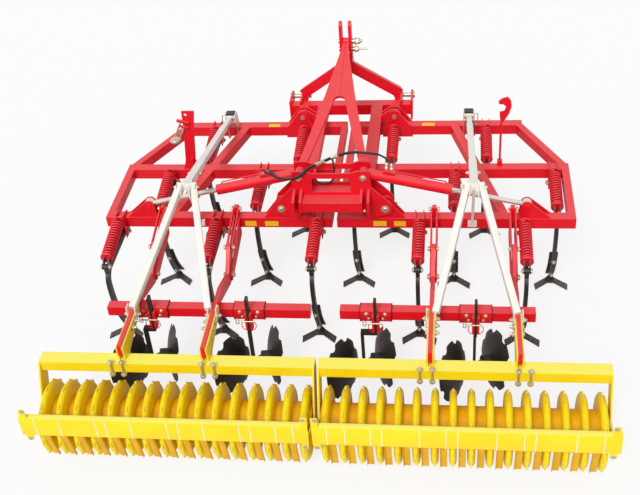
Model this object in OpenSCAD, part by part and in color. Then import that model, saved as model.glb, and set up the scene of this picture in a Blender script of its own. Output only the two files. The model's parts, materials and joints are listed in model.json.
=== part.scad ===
// Mounted stubble cultivator with two folding wings, 14 sprung tines,
// levelling discs and a rear roller of wedge rings.
// +X is the machine's right, +Y is forward to the tractor, +Z is up.
// The origin is on the ground below the centre of the overall outline.

/* [Frame] */
// Height of the top of the frame beams above the ground
frame_top = 900; // [880:5:930]
// Side of the square frame beams
beam = 90; // [80:5:100]
// Distance between neighbouring rows of tines
row_gap = 700; // [680:5:720]
// Half length of the middle and rear beams across the machine
half_width = 1880; // [1870:5:1900]
// Half length of the front beam across the machine
front_half_width = 1530; // [1480:10:1560]
// Half of the gap between the two wings at the middle of the machine
centre_gap = 20; // [15:1:25]

/* [Tines] */
// Distance between neighbouring tine paths
tine_pitch = 270; // [265:1:275]
// Outer diameter of a tine's coil spring
spring_dia = 104; // [96:2:108]
// Diameter of the spring wire
wire_dia = 17; // [14:1:19]
// Turns of a coil spring
spring_turns = 11; // [9:1:12]
// Width across the wings of a share
share_width = 278; // [260:2:290]

/* [Folding] */
// Distance of a fold pin from the middle of the machine
fold_x = 411; // [405:1:415]
// Height of the fold pins above the top of the beams
fold_rise = 110; // [105:1:115]
// Diameter of the fold pins
fold_pin = 40; // [36:2:44]
// Diameter of the fold cylinder's barrel
barrel_dia = 85; // [75:5:90]
// Diameter of the fold cylinder's rod
rod_dia = 40; // [35:1:45]

/* [Roller] */
// Diameter of the roller rings over the lugs
ring_dia = 550; // [540:2:560]
// Distance between neighbouring rings
ring_pitch = 125; // [124:0.5:126]
// Rings in each roller
rings = 16; // [16]
// Lugs round each ring
ring_lugs = 12; // [10:1:16]

/* [Discs] */
// Diameter of the levelling discs
disc_dia = 460; // [440:10:480]
// Angle of a disc's axle to the beam, seen from above
disc_yaw = 22; // [20:1:26]
// Angle by which a disc's axle dips to its open side
disc_dip = 12; // [8:1:14]

/* [Hitch] */
// Distance between the middles of the two lower link pins
lower_link_spacing = 1010; // [1008:1:1012]
// Diameter of the lower link pins
lower_link_dia = 36.6; // [28, 36.6]
// Diameter of the top link hole
top_link_dia = 32; // [25.4, 32]

/* [Hidden] */

$fn = 32;
left = -1;
right = 1;
frame_red = "#d8112c";
roller_yellow = "#f4c900";
tool_black = "#2b2523";
zinc = "#cfc8b4";
tube_white = "#e6e3d6";

// Fore and aft: the overall outline runs from the hitch plates to the scraper beam.
hitch_reach = 410;
scraper_reach = 1990;
mid_y = (scraper_reach - hitch_reach) / 2;
front_y = mid_y + row_gap;
rear_y = mid_y - row_gap;
beam_z = frame_top - beam / 2;

// Tines: the row and side of tine i, counted from the machine's left.
tine_count = 14;
function tine_x(i) = (i - (tine_count - 1) / 2) * tine_pitch;
function tine_y(i) = [rear_y, mid_y, front_y][i % 3];
function side_tines(s) = s == left ? [0:6] : [7:13];
spring_top = [-112, frame_top + 5];
spring_foot = [-497, frame_top - 55];
elbow_y = -470;
elbow_r = 110;
leg_r = 1000;
arm_z = frame_top - 145;
shank_w = 30;
shank_t = 50;
leg_end = 35;
leg_steps = 14;
leg_c = [elbow_y - elbow_r + leg_r, arm_z - elbow_r];
clevis_pin = [-560, arm_z + 45];

// Fold pins and cylinders.
fold_z = frame_top + fold_rise;
base_pin = [250, frame_top + 400];
lug_pin = [1500, frame_top + 106];
cylinder_y = rear_y + 6;
cylinder_len = norm(lug_pin - base_pin);
cylinder_fall = atan2(base_pin[1] - lug_pin[1], lug_pin[0] - base_pin[0]);
barrel_len = 660;
base_pin_dia = 30;

// Roller and what carries it.
roller_y = rear_y - 1647;
roller_z = ring_dia / 2;
first_ring = 74;
arm_x = [790, 1395];
arm_w = 30;
disc_beam_y = rear_y - 945;
disc_beam_side = 78;
disc_beam_z = frame_top - 150 - disc_beam_side / 2;
clamp_side = disc_beam_side + 16;
roller_beam = [110, 80];
roller_beam_y = rear_y - 1475;
roller_beam_z = frame_top - 240;
scraper_h = 165;
scraper_z = frame_top - 380;
roller_end = 2000;
scraper_end = 2032;

// Levelling discs: the middle of each pair and where the top of its stalk stands.
disc_pairs = [[-1365, -1287], [-565, -555], [280, 384], [1100, 1105]];
disc_z = 260;
disc_sphere_r = 600;
disc_depth = disc_sphere_r - sqrt(pow(disc_sphere_r, 2) - pow(disc_dia / 2, 2));
stalk_y = disc_beam_y - clamp_side / 2 - 25;

// A bar of rectangular section from a to b; h is its height and w its width.
module bar(a, b, w, h) {
    v = b - a;
    translate(a)
        rotate([0, acos(v[2] / norm(v)), atan2(v[1], v[0])])
            translate([-h / 2, -w / 2, 0])
                cube([h, w, norm(v)]);
}

// A round bar of diameter d from a to b.
module rod(a, b, d) {
    v = b - a;
    translate(a)
        rotate([0, acos(v[2] / norm(v)), atan2(v[1], v[0])])
            cylinder(h = norm(v), d = d);
}

// A plate t thick across the machine, its outline drawn as [y, z].
module side_plate(t) {
    rotate([90, 0, 90])
        linear_extrude(t, center = true)
            children();
}

// A plate t thick fore and aft, its outline drawn as [x, z].
module cross_plate(t) {
    rotate([90, 0, 0])
        linear_extrude(t, center = true)
            children();
}

// Mirrors what is drawn for the right side to side s.
module on_side(s) {
    mirror([s == left ? 1 : 0, 0, 0])
        children();
}

// Points on a circle about c of radius r from angle a0 to a1.
function arc(c, r, a0, a1, n = 16) =
    [for (i = [0:n]) let (a = a0 + (a1 - a0) * i / n) c + r * [cos(a), sin(a)]];

// A closed mesh through rings of points that have the same number of points each.
module ring_mesh(sections) {
    n = len(sections[0]);
    last = len(sections) - 1;
    polyhedron(
        points = [for (s = sections) each s],
        faces = concat(
            [[for (j = [0:n - 1]) n - 1 - j]],
            [for (i = [0:last - 1]) for (j = [0:n - 1]) for (k = [0, 1])
                let (a = i * n + j, b = i * n + (j + 1) % n)
                k == 0 ? [a, b, b + n] : [a, b + n, a + n]],
            [[for (j = [0:n - 1]) last * n + j]]
        )
    );
}

// ---- centre section ----

tube_x = 245;
tube_w = 100;
tube_h = 80;
tube_z = frame_top + 25;
cross_y = front_y + 215;
cross_z = frame_top + 45;
link_y = front_y + hitch_reach - 50;
link_z = frame_top + 90;
link_in = lower_link_spacing / 2 - 48;
link_out = lower_link_spacing / 2 + 48;
// The lower link pins are thicker where the plates hold them.
link_root_dia = lower_link_dia + 3.4;
rear_plate_y = [rear_y - 62, rear_y + 75];

module rear_plate_outline() {
    difference() {
        polygon([
            [-300, frame_top + 460], [-200, frame_top + 460], [-150, frame_top + 440],
            [150, frame_top + 440], [200, frame_top + 460], [300, frame_top + 460],
            [310, frame_top + 310], [fold_x + 45, fold_z + 50], [fold_x + 60, fold_z],
            [fold_x + 45, fold_z - 50], [fold_x - 40, fold_z - 70], [270, frame_top + 18],
            [250, frame_top + 105], [-250, frame_top + 105], [-270, frame_top + 18],
            [-fold_x + 40, fold_z - 70], [-fold_x - 45, fold_z - 50], [-fold_x - 60, fold_z],
            [-fold_x - 45, fold_z + 50], [-310, frame_top + 310]
        ]);
        translate([-150, frame_top + 270])
            square([300, 125]);
        for (s = [left, right]) {
            translate([s * fold_x, fold_z])
                circle(d = fold_pin + 0.1);
            translate([s * base_pin[0], base_pin[1]])
                circle(d = base_pin_dia + 0.1);
        }
    }
}

module centre_frame() {
    color(frame_red) {
        // Hitch cross beam and the two long tubes.
        translate([-link_out - 9, cross_y - 45, cross_z - 50])
            cube([2 * link_out + 18, 90, 100]);
        for (s = [left, right])
            translate([s * tube_x - tube_w / 2, rear_plate_y[1], tube_z])
                cube([tube_w, cross_y - 40 - rear_plate_y[1], tube_h]);
        // Rear pair of plates that carry the fold pins and the cylinders.
        for (y = rear_plate_y)
            translate([0, y, 0])
                cross_plate(15)
                    rear_plate_outline();
        // Box and ribs behind the plates.
        translate([-225, rear_plate_y[0] - 130, frame_top + 165])
            cube([450, 267, 80]);
        for (x = [-290, -235, 235, 290])
            translate([x, rear_plate_y[0], 0])
                side_plate(20)
                    polygon([[0, frame_top + 110], [-60, frame_top + 110], [-140, frame_top + 160],
                        [-140, frame_top + 260], [0, frame_top + 300]]);
        // Front fold lugs on the tubes.
        for (s = [left, right])
            for (y = [front_y - 28, front_y + 28])
                translate([0, y, 0])
                    cross_plate(15)
                        difference() {
                            polygon([[s * (tube_x + tube_w / 2), tube_z],
                                [s * (fold_x + 30), fold_z - 75],
                                [s * (fold_x + 55), fold_z - 30], [s * (fold_x + 55), fold_z + 20],
                                [s * (fold_x + 30), fold_z + 50], [s * (fold_x - 30), fold_z + 55],
                                [s * (tube_x + tube_w / 2), tube_z + tube_h]]);
                            translate([s * fold_x, fold_z])
                                circle(d = fold_pin + 0.1);
                        }
    }
}

module hitch_plates() {
    color(frame_red)
        for (s = [left, right])
            for (x = [link_in, link_out])
                translate([s * x, 0, 0])
                    side_plate(18)
                        difference() {
                            hull() {
                                translate([link_y, link_z])
                                    circle(r = 50);
                                translate([cross_y - 55, cross_z - 95])
                                    square([100, 190]);
                            }
                            translate([link_y, link_z])
                                circle(d = link_root_dia + 0.1);
                            translate([cross_y - 45, cross_z - 50])
                                square([90, 100]);
                        }
}

tower_y = front_y + 130;
tower_top = frame_top + 900;
strut_pin = [tower_y, frame_top + 755];
strut_foot_z = frame_top + 400;
strut_pin_dia = 25;
strut_run = strut_pin[0] - rear_plate_y[1] - 7.5;
strut_tilt = atan2(strut_pin[1] - strut_foot_z, strut_run);
strut_len = strut_run / cos(strut_tilt);

module hitch_tower() {
    elbow = [link_in - 22, link_y - 60, frame_top + 155];
    color(frame_red) {
        for (s = [left, right]) {
            // Ear beside the top link.
            translate([s * 40, 0, 0])
                side_plate(25)
                    difference() {
                        polygon(concat(
                            arc([tower_y, tower_top], 44, 0, 180),
                            [[tower_y - 55, frame_top + 470], [tower_y + 60, frame_top + 470]]
                        ));
                        translate([tower_y, tower_top])
                            circle(d = top_link_dia);
                        for (z = [0, -75])
                            translate([strut_pin[0], strut_pin[1] + z])
                                circle(d = strut_pin_dia + 0.1);
                    }
            // Sloping arm of the arch and its foot on the inner hitch plate.
            bar([s * 30, tower_y, frame_top + 515], [s * elbow[0], elbow[1], elbow[2]], 70, 90);
            translate([s * (link_in - 34) - 25, elbow[1] - 45, cross_z + 50])
                cube([50, 80, elbow[2] - cross_z - 30]);
        }
    }
}

module tower_strut() {
    color(frame_red)
        difference() {
            union() {
                translate([0, strut_pin[0], strut_pin[1]])
                    rotate([strut_tilt, 0, 0])
                        translate([0, 0, -12])
                            linear_extrude(24)
                                polygon([[-27, 0], [27, 0], [27, -110], [52, -190], [315, -strut_len],
                                    [235, -strut_len], [14, -720], [-14, -720], [-235, -strut_len],
                                    [-315, -strut_len], [-52, -190], [-27, -110]]);
                side_plate(54)
                    translate(strut_pin)
                        circle(r = 32);
            }
            rod([-40, strut_pin[0], strut_pin[1]], [40, strut_pin[0], strut_pin[1]], strut_pin_dia + 0.1);
            translate([-400, rear_plate_y[1] - 92.5, frame_top])
                cube([800, 100, 800]);
        }
}

module hitch_pins() {
    color(zinc) {
        for (s = [left, right]) {
            rod([s * (link_in - 75), link_y, link_z], [s * (link_in - 9), link_y, link_z], lower_link_dia);
            rod([s * (link_in - 9), link_y, link_z], [s * (link_out + 12), link_y, link_z], link_root_dia);
            rod([s * (link_out + 9), link_y, link_z], [s * (link_out + 24), link_y, link_z], 56);
        }
        for (z = [0, -75]) {
            rod([-62, strut_pin[0], strut_pin[1] + z],
                [75 - z / 2, strut_pin[0], strut_pin[1] + z], strut_pin_dia);
            rod([-66, strut_pin[0], strut_pin[1] + z], [-52.5, strut_pin[0], strut_pin[1] + z], 36);
        }
    }
}

module fold_pins() {
    ends = [rear_plate_y[0] - 20, rear_plate_y[1] + 20];
    color(zinc)
        for (s = [left, right]) {
            rod([s * fold_x, ends[0], fold_z], [s * fold_x, ends[1], fold_z], fold_pin);
            rod([s * fold_x, front_y - 80, fold_z], [s * fold_x, front_y + 80, fold_z], fold_pin);
            rod([s * base_pin[0], ends[0], base_pin[1]],
                [s * base_pin[0], ends[1] - 12.5, base_pin[1]], base_pin_dia);
        }
}

// Hydraulic hose from one cylinder's port to the other's, through the points of its route.
hose_dia = 15;
hose_route = [[400, 192, 1382], [372, 195, 1398], [340, 198, 1408], [250, 200, 1420], [161, 200, 1424],
    [90, 198, 1412], [43, 195, 1396], [-10, 175, 1388], [-60, 135, 1386], [-120, 76, 1390], [-175, 28, 1386],
    [-213, -8, 1364], [-255, -14, 1334], [-310, -12, 1318], [-360, -12, 1320], [-395, -12, 1328]];

// Point t along a route, each span a Catmull-Rom curve.
function route_point(p, t) =
    let (n = len(p) - 1, i = max(0, min(floor(t), n - 1)), u = t - i,
        a = p[max(i - 1, 0)], b = p[i], c = p[i + 1], d = p[min(i + 2, n)])
    0.5 * (2 * b + (c - a) * u + (2 * a - 5 * b + 4 * c - d) * u * u
        + (3 * b - a - 3 * c + d) * u * u * u);

module hose(p) {
    steps = 3 * (len(p) - 1);
    ring_mesh([for (i = [0:steps])
        let (t = i * (len(p) - 1) / steps, c = route_point(p, t),
            v = route_point(p, t + 0.01) - route_point(p, t - 0.01),
            w = v / norm(v), side = cross([0, 0, 1], w) / norm(cross([0, 0, 1], w)), up = cross(w, side))
        [for (j = [0:7]) c + hose_dia / 2 * (cos(j * 45) * side - sin(j * 45) * up)]]);
}

module hoses() {
    color(tool_black)
        hose(hose_route);
}

// ---- wings ----

// A flat bar w wide from a to b, drawn as [x, y].
module plan_bar(a, b, w) {
    n = w / 2 / norm(b - a) * [a[1] - b[1], b[0] - a[0]];
    polygon([a - n, b - n, b + n, a + n]);
}

// The three cross beams, the inner and outer long bars, the sloping corner and the diagonal.
module wing_plan() {
    plan_bar([centre_gap, front_y], [front_half_width, front_y], beam);
    for (y = [mid_y, rear_y])
        plan_bar([centre_gap, y], [half_width, y], beam);
    plan_bar([centre_gap + 25, rear_y], [centre_gap + 25, front_y], 50);
    plan_bar([half_width - 30, rear_y], [half_width - 30, mid_y], 60);
    plan_bar([half_width - 32, mid_y], [front_half_width - 40, front_y], 60);
    plan_bar([930, front_y], [1340, rear_y], 70);
}

// Transport lock on the middle beams: the right wing's hook passes behind the left wing's catch.
lock_x = 1316;
lock_z = frame_top + 400;

module transport_hook() {
    translate([lock_x, mid_y + 20, 0]) {
        translate([-20, -20, frame_top - 1])
            cube([40, 40, 51]);
        translate([0, 0, frame_top])
            cylinder(h = 410, d = 18);
        translate([0, 0, lock_z])
            cross_plate(12)
                polygon([[0, 0], [26, 32], [62, 97], [79, 162], [72, 214], [46, 247], [0, 232],
                    [-26, 208], [-22, 184], [15, 180], [36, 158], [22, 120], [-15, 110], [-12, 60]]);
    }
}

module transport_catch() {
    translate([lock_x, mid_y - 20, 0]) {
        cross_plate(12)
            difference() {
                polygon([[-90, frame_top - 1], [60, frame_top - 1], [34, frame_top + 90], [3, lock_z + 25],
                    [0, lock_z + 170], [-110, lock_z + 170], [-88, lock_z + 25], [-54, frame_top + 90]]);
                translate([-30, lock_z + 135])
                    circle(d = 26);
            }
        translate([-30, 0, frame_top - 1])
            linear_extrude(120)
                square([12, 70], center = true);
    }
}

module wing_frame(s) {
    on_side(s)
        color(frame_red) {
            if (s == right)
                transport_hook();
            else
                transport_catch();
            translate([0, 0, frame_top - beam])
                linear_extrude(beam)
                    wing_plan();
            // Fold lugs: a pair on the faces of the front beam, a pair on top of the rear beam.
            for (y = [front_y - beam / 2 - 7.9, front_y + beam / 2 + 7.9])
                translate([0, y, 0])
                    cross_plate(16)
                        difference() {
                            wing_lug_outline(frame_top - beam - 10);
                            translate([tine_x(8) - 41, frame_top - 200])
                                square([82, 220]);
                        }
            for (y = [rear_y - 30, rear_y + 30])
                translate([0, y, 0])
                    cross_plate(15)
                        wing_lug_outline(frame_top - 1);
            // Lug pair for the cylinder's rod end, each with a boss on its outer face.
            for (k = [-1, 1])
                translate([0, cylinder_y + k * 34, 0])
                    cross_plate(12)
                        polygon([[lug_pin[0] + 190, frame_top - 1], [lug_pin[0] + 40, lug_pin[1] + 25],
                            [lug_pin[0] + 15, lug_pin[1] + 42], [lug_pin[0] - 15, lug_pin[1] + 42],
                            [lug_pin[0] - 40, lug_pin[1] + 20], [lug_pin[0] - 60, frame_top - 1]]);
            for (k = [-1, 1])
                rod([lug_pin[0], cylinder_y + k * 39, lug_pin[1]],
                    [lug_pin[0], cylinder_y + k * 50, lug_pin[1]], 46);
        }
}

module wing_lug_outline(foot_z) {
    difference() {
        polygon([[fold_x - 110, foot_z], [fold_x + 160, foot_z], [fold_x + 150, frame_top],
            [fold_x + 55, fold_z + 15], [fold_x + 35, fold_z + 45], [fold_x, fold_z + 57],
            [fold_x - 35, fold_z + 45], [fold_x - 55, fold_z + 15], [fold_x - 100, frame_top]]);
        translate([fold_x, fold_z])
            circle(d = fold_pin + 0.1);
    }
}

// One tine's parts stand on the beam at [0, 0] with the row's middle at y = 0.
module tine_bracket(low) {
    lip = low
        ? [[-beam / 2, frame_top + 12], [-108, frame_top + 12]]
        : [[45, frame_top + 20], [-108, frame_top + 45]];
    for (x = [-1, 1])
        translate([x * 32, 0, 0])
            side_plate(8)
                difference() {
                    polygon(concat(lip, [[-108, frame_top - 30], [-85, frame_top - 60], [-85, arm_z - 30],
                        [10, arm_z - 30], [30, frame_top - beam - 20], [45, frame_top - beam],
                        [low ? -45 : 45, frame_top - beam]]));
                    translate([-beam / 2, frame_top - beam])
                        square([beam + 10, beam]);
                    translate([-30, arm_z])
                        circle(d = 19);
                }
    // Spring seat and pivot bolt.
    translate([0, spring_top[0], spring_top[1]])
        rotate([90 + spring_slope(), 0, 0])
            translate([0, 0, -12])
                cylinder(h = 12, d = spring_dia);
    rod([-48, -30, arm_z], [48, -30, arm_z], 19.6);
}

function spring_slope() = atan2(spring_top[1] - spring_foot[1], spring_top[0] - spring_foot[0]);

module tine_spring() {
    length = norm(spring_top - spring_foot);
    turn_steps = 8;
    mean_r = (spring_dia - wire_dia) / 2;
    steps = spring_turns * turn_steps;
    translate([0, spring_top[0], spring_top[1]])
        rotate([90 + spring_slope(), 0, 0])
            ring_mesh([for (i = [0:steps])
                let (a = i * 360 / turn_steps, z = wire_dia / 2 + (length - wire_dia) * i / steps)
                [for (j = [0:3])
                    let (b = -j * 90, r = mean_r + wire_dia / 2 * cos(b))
                    [r * cos(a), r * sin(a), z + wire_dia / 2 * sin(b)]]]);
}

module shank_path() {
    // Upper arm, elbow and long curved leg as one outline in [y, z].
    polygon(concat(
        [[0, arm_z + shank_t / 2]],
        arc([elbow_y, arm_z - elbow_r], elbow_r + shank_t / 2, 90, 180),
        arc(leg_c, leg_r + shank_t / 2, 180, 180 + leg_end, leg_steps),
        arc(leg_c, leg_r - shank_t / 2, 180 + leg_end, 180, leg_steps),
        arc([elbow_y, arm_z - elbow_r], elbow_r - shank_t / 2, 180, 90),
        [[0, arm_z - shank_t / 2]]
    ));
}

module tine_shank() {
    side_plate(shank_w)
        difference() {
            union() {
                shank_path();
                // Ear for the spring's clevis.
                polygon(concat(arc(clevis_pin, 24, 0, 180),
                    [clevis_pin + [-12, -65], clevis_pin + [30, -78]]));
            }
            translate([-30, arm_z])
                circle(d = 20);
        }
    // Spring foot cap and clevis.
    translate([0, spring_foot[0], spring_foot[1]])
        rotate([90 + spring_slope(), 0, 0])
            cylinder(h = 12, d = spring_dia - 6);
    for (x = [-1, 1])
        translate([x * 22, 0, 0])
            side_plate(10)
                polygon(concat(arc(clevis_pin, 22, 70, 300),
                    [spring_foot + [-3, -30], spring_foot + [-11, 23]]));
    rod([-40, clevis_pin[0], clevis_pin[1]], [40, clevis_pin[0], clevis_pin[1]], 22.4);
}

share_nose = -325;

module share() {
    // Curved shin plate on the front of the leg.
    side_plate(70)
        polygon(concat(
            arc(leg_c, leg_r - shank_t / 2, 180 + leg_end - 20, 180 + leg_end + 5, 10),
            arc(leg_c, leg_r - shank_t / 2 - 14, 180 + leg_end + 5, 180 + leg_end - 20, 10)
        ));
    // Swept wings and the point.
    half = share_width / 2;
    translate([0, share_nose, 0])
        rotate([-5, 0, 0])
            linear_extrude(12)
                polygon([[0, 0], [38, -55], [half, -150], [half - 8, -225], [26, -122],
                    [-26, -122], [-half + 8, -225], [-half, -150], [-38, -55]]);
}

module each_tine(s) {
    for (i = side_tines(s))
        translate([tine_x(i), tine_y(i), 0])
            children();
}

module tine_brackets(s) {
    color(frame_red)
        for (i = side_tines(s))
            translate([tine_x(i), tine_y(i), 0])
                tine_bracket(search(i, [1, 5, 8, 12]) != []);
}

module tine_springs(s) {
    color(frame_red)
        each_tine(s)
            tine_spring();
}

module tine_shanks(s) {
    color(tool_black)
        each_tine(s)
            tine_shank();
}

module shares(s) {
    color(tool_black)
        each_tine(s)
            share();
}

// ---- brace, struts and arms ----

brace_head = [1065, front_y - 80, frame_top + 125];
brace_fork = [1090, rear_y - 250, frame_top + 448];
brace_dia = 54;
brace_prop = [1085, rear_y - beam / 2 - 14, frame_top - 35];

module y_brace(s) {
    on_side(s)
        color(tube_white) {
            rod(brace_head, brace_fork, brace_dia);
            translate(brace_fork - [0, 0, 36])
                cylinder(h = 72, d = 92);
            // Legs, each with a stub against the roller's bracket.
            for (i = [0, 1])
                let (k = [1, -1][i], foot = [arm_x[i] + k * 51, rear_y - 1050, frame_top - 105]) {
                    rod(brace_fork, foot, brace_dia - 12);
                    rod([arm_x[i] + k * 27, foot[1], foot[2]], foot, 30);
                }
            // Prop from the rear beam.
            rod(brace_prop, brace_fork, 22);
            translate(brace_prop - [35, 10, 25])
                cube([70, 24, 50]);
            // Head bracket on the front beam.
            for (x = [-1, 1])
                translate([brace_head[0] + x * 40, 0, 0])
                    side_plate(10)
                        polygon([[front_y - 40, frame_top], [front_y + 30, frame_top],
                            [front_y - 30, frame_top + 165], [front_y - 110, frame_top + 165],
                            [front_y - 110, frame_top + 90]]);
            rod(brace_head - [60, 0, 0], brace_head + [60, 0, 0], 24);
        }
}

strut_head = [rear_y - 10, frame_top + 70];
strut_foot = [rear_y - 395, frame_top - 25];
arm_pivot = [rear_y - 510, frame_top - 205];
strut_bolt = 22;
arm_bolt = 26;

module depth_struts(s) {
    on_side(s)
        color(frame_red)
            for (x = arm_x) {
                // Two rails from the head bracket to the joint block.
                for (k = [-1, 1])
                    bar([x + k * 20.5, strut_head[0], strut_head[1]],
                        [x + k * 20.5, strut_foot[0], strut_foot[1]], 10, 30);
                for (p = [strut_head, strut_foot])
                    rod([x - 34, p[0], p[1]], [x + 34, p[0], p[1]], strut_bolt);
                // Head bracket on the beam and the pair of plates down to the arm's pivot.
                translate([x, 0, 0])
                    side_plate(33)
                        polygon([[rear_y - 40, frame_top], [rear_y + 40, frame_top],
                            [rear_y + 20, frame_top + 90], [rear_y - 35, frame_top + 95]]);
                for (k = [-1, 1])
                    translate([x + k * 21.5, 0, 0])
                        side_plate(12)
                            polygon([[rear_y - 45, frame_top - 5], [rear_y - 80, frame_top - 5],
                                arm_pivot + [-40, 20], arm_pivot + [-30, -35], arm_pivot + [30, -30],
                                [rear_y - 45, frame_top - beam - 60], [rear_y - 45, frame_top - beam]]);
                rod([x - 34, arm_pivot[0], arm_pivot[1]], [x + 34, arm_pivot[0], arm_pivot[1]], arm_bolt);
            }
}

module roller_arms(s) {
    on_side(s)
        color(frame_red)
            for (x = arm_x)
                translate([x, 0, 0])
                    side_plate(arm_w)
                        difference() {
                            polygon([strut_foot + [25, 30], strut_foot + [35, -40], arm_pivot + [45, -20],
                                arm_pivot + [10, -50], arm_pivot + [-60, -45],
                                [disc_beam_y + 50, frame_top - 150], [rear_y - 1500, frame_top - 150],
                                [rear_y - 1500, frame_top - 60], [disc_beam_y + 100, frame_top - 60],
                                arm_pivot + [-70, 60], strut_foot + [-30, 30]]);
                            translate(strut_foot)
                                circle(d = strut_bolt + 0.1);
                            translate(arm_pivot)
                                circle(d = arm_bolt + 0.1);
                        }
}

clamp_w = 90;

module disc_beam(s) {
    span = s == left ? [-1640, -100] : [120, 1530];
    back_y = disc_beam_y - clamp_side / 2;
    color(frame_red) {
        translate([span[0], disc_beam_y - disc_beam_side / 2, disc_beam_z - disc_beam_side / 2])
            cube([span[1] - span[0], disc_beam_side, disc_beam_side]);
        for (i = s == left ? [0, 1] : [2, 3])
            let (x = disc_pairs[i][1]) {
                difference() {
                    translate([x - clamp_w, back_y, disc_beam_z - clamp_side / 2])
                        cube([2 * clamp_w, clamp_side, clamp_side]);
                    translate([x - 120, disc_beam_y - 38.9, disc_beam_z - 38.9])
                        cube([240, 77.8, 77.8]);
                }
                // Cheeks that hold the stalk.
                for (k = [-1, 1])
                    translate([x + k * 18 - 8, back_y - 50, disc_beam_z - 115])
                        cube([16, 50.1, 150]);
            }
    }
}

// Levelling disc side k of a pair whose middle is at x: -1 is the left one.
function disc_centre(x, k) = [x + k * 157, rear_y - 1010 + k * 65, disc_z];

// Places children on a disc's axle: z = 0 at the back of its bowl, +Z to the open side.
module at_disc(x, k) {
    translate(disc_centre(x, k))
        rotate([0, 90 + disc_dip, k > 0 ? disc_yaw : 180 - disc_yaw])
            translate([0, 0, -disc_depth])
                children();
}

// A point on a disc's axle, d behind the back of its bowl.
function disc_point(x, k, d) =
    let (a = k > 0 ? disc_yaw : 180 - disc_yaw)
    disc_centre(x, k)
        - (disc_depth + d) * [cos(disc_dip) * cos(a), cos(disc_dip) * sin(a), -sin(disc_dip)];

module disc_stalk(p) {
    step_z = 568;
    difference() {
        union() {
            translate([0, stalk_y, 0])
                cross_plate(50) {
                    translate([p[1] - 10, step_z])
                        square([20, frame_top - 10 - step_z]);
                    translate([min(p[0], p[1]) - 10, step_z])
                        square([abs(p[0] - p[1]) + 20, 20]);
                    translate([p[0] - 10, disc_z + 10])
                        square([20, step_z - disc_z]);
                }
            rod(disc_point(p[0], -1, 40), disc_point(p[0], 1, 40), 46);
            for (k = [-1, 1])
                at_disc(p[0], k)
                    translate([0, 0, -62])
                        cylinder(h = 60, d = 84);
        }
        for (k = [-1, 1])
            at_disc(p[0], k)
                translate([0, 0, -54])
                    cylinder(h = 60, d = 30.1);
    }
}

module disc_stalks(s) {
    color(tool_black)
        for (i = s == left ? [0, 1] : [2, 3])
            disc_stalk(disc_pairs[i]);
}

module levelling_disc(i) {
    k = i % 2 == 0 ? -1 : 1;
    color(tool_black)
        at_disc(disc_pairs[floor(i / 2)][0], k) {
            difference() {
                rotate_extrude($fn = 64)
                    difference() {
                        intersection() {
                            translate([0, disc_sphere_r])
                                circle(r = disc_sphere_r, $fn = 128);
                            translate([0, -1])
                                square([disc_dia / 2, disc_depth + 1]);
                        }
                        translate([0, disc_sphere_r + 6])
                            circle(r = disc_sphere_r, $fn = 128);
                    }
                for (j = [0:7])
                    rotate([0, 0, j * 45 + 11 * k])
                        translate([disc_dia / 2 + 12, 0, -5])
                            cylinder(h = disc_depth + 20, r = 40);
            }
            translate([0, 0, -50])
                cylinder(h = 52, d = 30);
        }
}

// ---- roller ----

module roller_frame(s) {
    top_z = roller_beam_z + roller_beam[1] / 2;
    front = roller_beam_y + roller_beam[0] / 2;
    back = rear_y - scraper_reach + 20;
    on_side(s)
        color(roller_yellow) {
            translate([12, roller_beam_y - roller_beam[0] / 2, roller_beam_z - roller_beam[1] / 2])
                cube([roller_end, roller_beam[0], roller_beam[1]]);
            // End plates down to the axle and back to the scraper beam.
            for (x = [18, roller_end + 6])
                translate([x, 0, 0])
                    side_plate(12)
                        difference() {
                            union() {
                                hull() {
                                    translate([front - roller_beam[0], roller_beam_z - roller_beam[1] / 2])
                                        square(roller_beam);
                                    translate([roller_y, roller_z])
                                        circle(r = 75);
                                }
                                polygon([[roller_y + 20, roller_z + 70], [back, scraper_z - 20],
                                    [back, scraper_z - scraper_h / 2], [roller_y - 40, roller_z - 40]]);
                            }
                            translate([roller_y, roller_z])
                                circle(d = 60.1);
                        }
            // Bracket plates either side of each arm, welded to the beam.
            for (x = arm_x)
                for (k = [-1, 1])
                    translate([x + k * (arm_w / 2 + 6), 0, 0])
                        side_plate(12)
                            polygon([[rear_y - 1025, frame_top - 75], [rear_y - 1025, frame_top - 125],
                                [front + 60, frame_top - 210], [front - 5, top_z - 80],
                                [front - 5, top_z], [front - 70, top_z], [front - 70, top_z + 40],
                                [rear_y - 1500, frame_top - 75]]);
        }
}

module scraper(s) {
    back = rear_y - scraper_reach;
    on_side(s)
        color(roller_yellow) {
            translate([12, back, scraper_z - scraper_h / 2])
                cube([scraper_end - 12, 20, scraper_h]);
            // One blade hangs down between each two rings.
            for (k = [0:rings - 2])
                let (x = first_ring + (k + 0.5) * ring_pitch)
                bar([x, back + 21, scraper_z], [x, roller_y - 284, roller_z + 40], 28, 8);
        }
}

core_r = 150;

module ring() {
    rotate([0, 90, 0]) {
        rotate_extrude($fn = 96)
            polygon([[core_r - 10, -44], [core_r + 15, -43], [205, -38], [245, -25], [260, -15], [266, -5],
                [266, 5], [260, 15], [245, 25], [205, 38], [core_r + 15, 43], [core_r - 10, 44]]);
        // Low nubs stand on the rim.
        linear_extrude(22, center = true)
            polygon([for (i = [0:ring_lugs - 1])
                for (q = [[-0.5, 255], [-0.17, 255], [-0.1, ring_dia / 2], [0, ring_dia / 2],
                    [0.1, ring_dia / 2], [0.17, 255]])
                    let (a = (i + q[0]) * 360 / ring_lugs)
                    q[1] * [cos(a), sin(a)]]);
    }
}

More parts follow.
